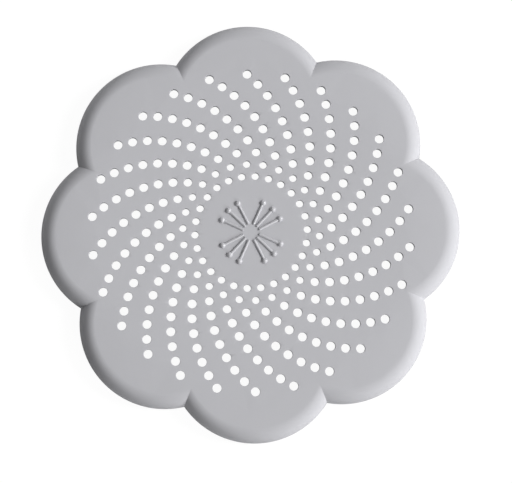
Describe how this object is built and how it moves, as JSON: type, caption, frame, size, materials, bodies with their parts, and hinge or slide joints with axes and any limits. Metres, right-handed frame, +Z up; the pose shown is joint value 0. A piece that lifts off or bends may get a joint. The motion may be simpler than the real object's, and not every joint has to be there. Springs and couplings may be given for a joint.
{
  "type": "sink strainer",
  "caption": "Flat flower-shaped strainer that covers a sink drain, with curved rows of drain holes, a rounded rim, raised stamens and suction cups underneath.",
  "frame": {"origin": "under the middle of the cover, in the plane that the lips of the suction cups stand on", "axes": "+Z up, out of the sink floor; +X through the tip of petal 1 and suction cup 1"},
  "size_m": [0.145, 0.145, 0.0078],
  "materials": {
    "cover_plastic": "satin",
    "cup_vinyl": "smooth"
  },
  "bodies": {
    "cover": {"perforated_cover": "cover_plastic"},
    "cup_1": {"suction_cup_1": "cup_vinyl"},
    "cup_2": {"suction_cup_2": "cup_vinyl"},
    "cup_3": {"suction_cup_3": "cup_vinyl"},
    "cup_4": {"suction_cup_4": "cup_vinyl"},
    "cup_5": {"suction_cup_5": "cup_vinyl"},
    "cup_6": {"suction_cup_6": "cup_vinyl"},
    "cup_7": {"suction_cup_7": "cup_vinyl"},
    "cup_8": {"suction_cup_8": "cup_vinyl"}
  },
  "joints": [
    {"name": "cup_1_press", "type": "slide", "parent": "cover", "child": "cup_1", "axis": [0, 0, 1], "range_m": [0, 0.0008], "stiffness_N_per_m": 2000, "deforming": ["suction_cup_1"]},
    {"name": "cup_2_press", "type": "slide", "parent": "cover", "child": "cup_2", "axis": [0, 0, 1], "range_m": [0, 0.0008], "stiffness_N_per_m": 2000, "deforming": ["suction_cup_2"]},
    {"name": "cup_3_press", "type": "slide", "parent": "cover", "child": "cup_3", "axis": [0, 0, 1], "range_m": [0, 0.0008], "stiffness_N_per_m": 2000, "deforming": ["suction_cup_3"]},
    {"name": "cup_4_press", "type": "slide", "parent": "cover", "child": "cup_4", "axis": [0, 0, 1], "range_m": [0, 0.0008], "stiffness_N_per_m": 2000, "deforming": ["suction_cup_4"]},
    {"name": "cup_5_press", "type": "slide", "parent": "cover", "child": "cup_5", "axis": [0, 0, 1], "range_m": [0, 0.0008], "stiffness_N_per_m": 2000, "deforming": ["suction_cup_5"]},
    {"name": "cup_6_press", "type": "slide", "parent": "cover", "child": "cup_6", "axis": [0, 0, 1], "range_m": [0, 0.0008], "stiffness_N_per_m": 2000, "deforming": ["suction_cup_6"]},
    {"name": "cup_7_press", "type": "slide", "parent": "cover", "child": "cup_7", "axis": [0, 0, 1], "range_m": [0, 0.0008], "stiffness_N_per_m": 2000, "deforming": ["suction_cup_7"]},
    {"name": "cup_8_press", "type": "slide", "parent": "cover", "child": "cup_8", "axis": [0, 0, 1], "range_m": [0, 0.0008], "stiffness_N_per_m": 2000, "deforming": ["suction_cup_8"]}
  ]
}
